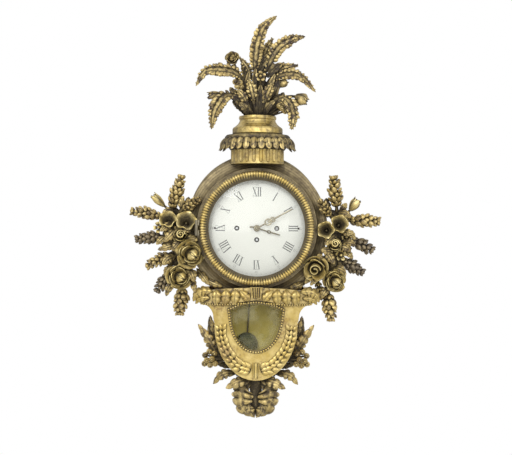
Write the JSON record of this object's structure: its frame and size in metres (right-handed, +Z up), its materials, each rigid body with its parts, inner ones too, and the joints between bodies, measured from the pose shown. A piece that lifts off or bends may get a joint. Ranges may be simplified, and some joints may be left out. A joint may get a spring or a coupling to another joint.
{
  "type": "cartel clock",
  "caption": "Carved giltwood wall clock: round drum with hinged glazed bezel and enamel dial, vase crest, flower sprays and a glazed bowed pendulum case; striking movement.",
  "frame": {"origin": "on the wall plane, straight behind the centre of the dial", "axes": "+Z up, +Y into the wall, -Y the way the dial faces, +X to the right as seen from the front"},
  "size_m": [0.5311, 0.1377, 0.8532],
  "materials": {
    "giltwood": "burnished water gilding over red bole",
    "carved_giltwood": "worn gilding with dark recesses",
    "oak": "bare, darkened with age",
    "iron": "dark",
    "steel": "dull",
    "brass": "lightly tarnished",
    "gilt_brass": "dark gilt",
    "glass": "clear",
    "enamel": "glossy white enamel"
  },
  "bodies": {
    "case": {"drum_case": "giltwood", "pedestal_drum": "giltwood", "vase_neck": "giltwood", "pendulum_case": "giltwood", "window_frame": "giltwood", "leaf_capital": "carved_giltwood", "crest_stems": "carved_giltwood", "crest_fronds": "carved_giltwood", "crest_buds": "carved_giltwood", "left_spray_core": "carved_giltwood", "left_ears": "carved_giltwood", "left_roses": "carved_giltwood", "left_flowers": "carved_giltwood", "right_spray_core": "carved_giltwood", "right_ears": "carved_giltwood", "right_roses": "carved_giltwood", "right_flowers": "carved_giltwood", "cornice": "carved_giltwood", "cornice_garland": "carved_giltwood", "laurel_branches": "carved_giltwood", "side_leaves": "carved_giltwood", "berry_clusters": "carved_giltwood", "pendant": "carved_giltwood", "backboard": "oak", "hanger_plate": "iron", "dial_plate": "iron", "case_screws": "steel", "bell_stand": "steel", "hinge_case_leaf": "brass", "front_plate": "brass", "back_plate": "brass", "plate_pillars": "brass", "pendulum_cock": "brass", "bell": "brass", "window_glass": "glass", "enamel_dial": "enamel"},
    "bezel": {"bezel_ring": "giltwood", "bezel_glass": "glass", "hinge_bezel_leaf": "brass", "bezel_catch": "brass"},
    "minute_work": {"cannon_pinion": "brass", "minute_hand": "gilt_brass"},
    "centre_wheel": {"centre_arbor": "brass"},
    "hour_work": {"hour_wheel": "brass", "hour_hand": "gilt_brass"},
    "minute_wheel": {"minute_wheel": "brass"},
    "third_wheel": {"third_wheel": "brass"},
    "escape_wheel": {"escape_wheel": "brass"},
    "anchor": {"anchor": "steel"},
    "pendulum": {"pendulum_rod": "steel", "pendulum_bob": "brass"},
    "rating_nut": {"rating_nut": "brass"},
    "going_barrel": {"going_barrel": "brass"},
    "going_winding_arbor": {"going_winding_arbor": "steel"},
    "strike_barrel": {"strike_barrel": "brass"},
    "strike_winding_arbor": {"strike_winding_arbor": "steel"},
    "third_barrel": {"third_barrel": "brass"},
    "third_winding_arbor": {"third_winding_arbor": "steel"},
    "pin_wheel": {"pin_wheel": "brass"},
    "hammer": {"hammer": "steel"}
  },
  "joints": [
    {"name": "bezel_hinge", "type": "hinge", "parent": "case", "child": "bezel", "pos_m": [-0.126, -0.1074, 0], "axis": [0, 0, -1], "range_deg": [0, 105]},
    {"name": "minute_turn", "type": "hinge", "parent": "case", "child": "minute_work", "pos_m": [0, 0, 0], "axis": [0, 1, 0], "continuous": true},
    {"name": "hour_turn", "type": "hinge", "parent": "case", "child": "hour_work", "pos_m": [0, 0, 0], "axis": [0, 1, 0], "continuous": true},
    {"name": "minute_wheel_turn", "type": "hinge", "parent": "case", "child": "minute_wheel", "pos_m": [0, 0, 0.018], "axis": [0, 1, 0], "continuous": true},
    {"name": "centre_wheel_turn", "type": "hinge", "parent": "case", "child": "centre_wheel", "pos_m": [0, 0, 0], "axis": [0, 1, 0], "continuous": true},
    {"name": "third_wheel_turn", "type": "hinge", "parent": "case", "child": "third_wheel", "pos_m": [-0.004, 0, 0.02163], "axis": [0, 1, 0], "continuous": true},
    {"name": "escape_wheel_turn", "type": "hinge", "parent": "case", "child": "escape_wheel", "pos_m": [0, 0, 0.04174], "axis": [0, 1, 0], "continuous": true},
    {"name": "going_barrel_turn", "type": "hinge", "parent": "case", "child": "going_barrel", "pos_m": [0.042, 0, 0], "axis": [0, 1, 0], "continuous": true},
    {"name": "going_winding", "type": "hinge", "parent": "case", "child": "going_winding_arbor", "pos_m": [0.042, 0, 0], "axis": [0, 1, 0], "continuous": true},
    {"name": "strike_barrel_turn", "type": "hinge", "parent": "case", "child": "strike_barrel", "pos_m": [-0.042, 0, 0], "axis": [0, 1, 0], "continuous": true},
    {"name": "pin_wheel_turn", "type": "hinge", "parent": "case", "child": "pin_wheel", "pos_m": [-0.03113, 0, 0.04057], "axis": [0, 1, 0], "continuous": true},
    {"name": "strike_winding", "type": "hinge", "parent": "case", "child": "strike_winding_arbor", "pos_m": [-0.042, 0, 0], "axis": [0, 1, 0], "continuous": true},
    {"name": "third_barrel_turn", "type": "hinge", "parent": "case", "child": "third_barrel", "pos_m": [0, 0, -0.024], "axis": [0, 1, 0], "continuous": true},
    {"name": "third_winding", "type": "hinge", "parent": "case", "child": "third_winding_arbor", "pos_m": [0, 0, -0.024], "axis": [0, 1, 0], "continuous": true},
    {"name": "pendulum_swing", "type": "hinge", "parent": "case", "child": "pendulum", "pos_m": [0, 0, 0.06274], "axis": [0, 1, 0], "range_deg": [-7.7, 0.3]},
    {"name": "anchor_rock", "type": "hinge", "parent": "case", "child": "anchor", "pos_m": [0, 0, 0.06274], "axis": [0, 1, 0], "range_deg": [-7.7, 0.3]},
    {"name": "rating_nut_turn", "type": "hinge", "parent": "pendulum", "child": "rating_nut", "pos_m": [-0.02194, -0.021, -0.27655], "axis": [-0.0645, 0, -0.9979], "continuous": true},
    {"name": "hammer_lift", "type": "hinge", "parent": "case", "child": "hammer", "pos_m": [-0.067, 0, 0.039], "axis": [0, 1, 0], "range_deg": [-18, 3], "stiffness_Nm_per_rad": 0.02}
  ],
  "couplings": [
    {"joint": "hour_turn", "follows": "minute_turn", "ratio": 0.083333},
    {"joint": "minute_wheel_turn", "follows": "minute_turn", "ratio": -0.33333},
    {"joint": "third_wheel_turn", "follows": "escape_wheel_turn", "ratio": -0.093333},
    {"joint": "centre_wheel_turn", "follows": "escape_wheel_turn", "ratio": 0.0093333},
    {"joint": "going_barrel_turn", "follows": "escape_wheel_turn", "ratio": -0.00077778},
    {"joint": "strike_barrel_turn", "follows": "pin_wheel_turn", "ratio": -0.083333},
    {"joint": "anchor_rock", "follows": "pendulum_swing", "ratio": 1}
  ]
}
